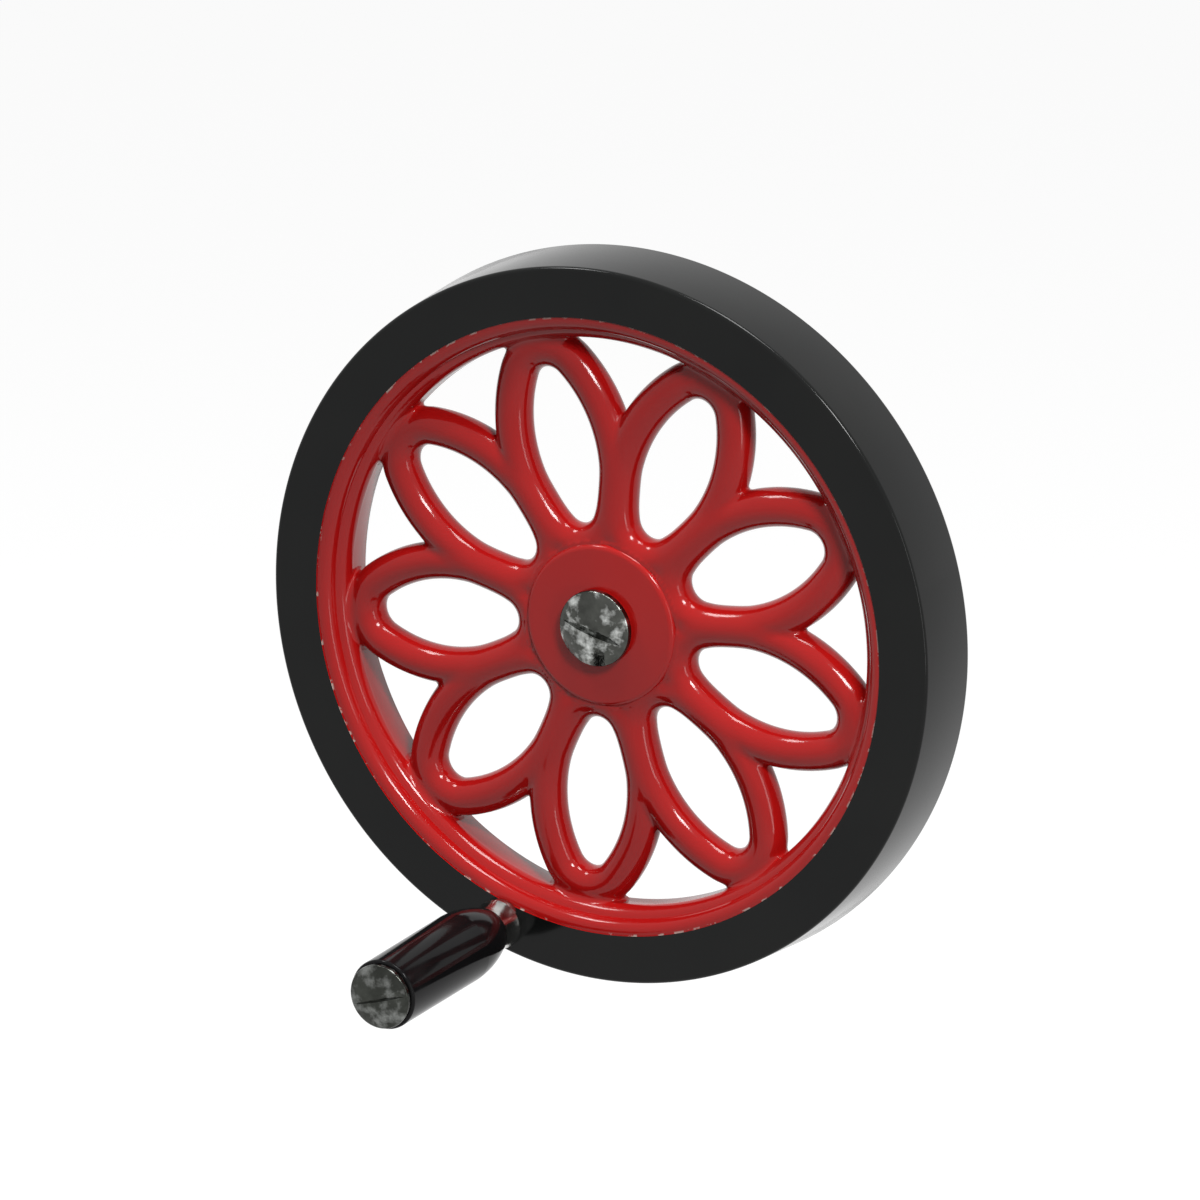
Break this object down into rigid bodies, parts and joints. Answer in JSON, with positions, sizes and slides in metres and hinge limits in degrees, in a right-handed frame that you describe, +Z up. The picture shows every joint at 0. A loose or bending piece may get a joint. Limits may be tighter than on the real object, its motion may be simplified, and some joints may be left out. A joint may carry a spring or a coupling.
{
  "type": "machine handwheel",
  "caption": "Spoked machine handwheel with a flower of closed petal loops, a flat dark rim, a domed hub screw and a revolving crank handle.",
  "frame": {"origin": "on the shaft axis at the hub's rear face, at the mouth of the shaft bore", "axes": "+Y runs back along the shaft, away from the handle; -Y is the front, where the rim's flat face, the hub screw and the handle look; +Z up, with the handle at the lower left seen from the front"},
  "size_m": [0.36, 0.1735, 0.36],
  "materials": {
    "red_paint": "gloss",
    "bright_steel": "polished",
    "black_steel": "dark oxide",
    "black_plastic": "gloss",
    "bronze_bush": "plain"
  },
  "bodies": {
    "wheel": {"wheel": "red_paint", "hub_screw": "bright_steel", "hub_washer": "bright_steel", "hub_set_screw": "black_steel", "handle_bolt": "bright_steel", "handle_ferrule": "bright_steel", "thrust_washer": "black_steel", "end_washer": "black_steel", "spring_washer": "black_steel", "handle_nut": "bright_steel"},
    "grip": {"grip": "black_plastic", "inner_bush": "bronze_bush", "outer_bush": "bronze_bush"}
  },
  "joints": [
    {"name": "grip_spin", "type": "hinge", "parent": "wheel", "child": "grip", "pos_m": [-0.0498, -0.118, -0.15605], "axis": [0, -1, 0], "continuous": true}
  ]
}
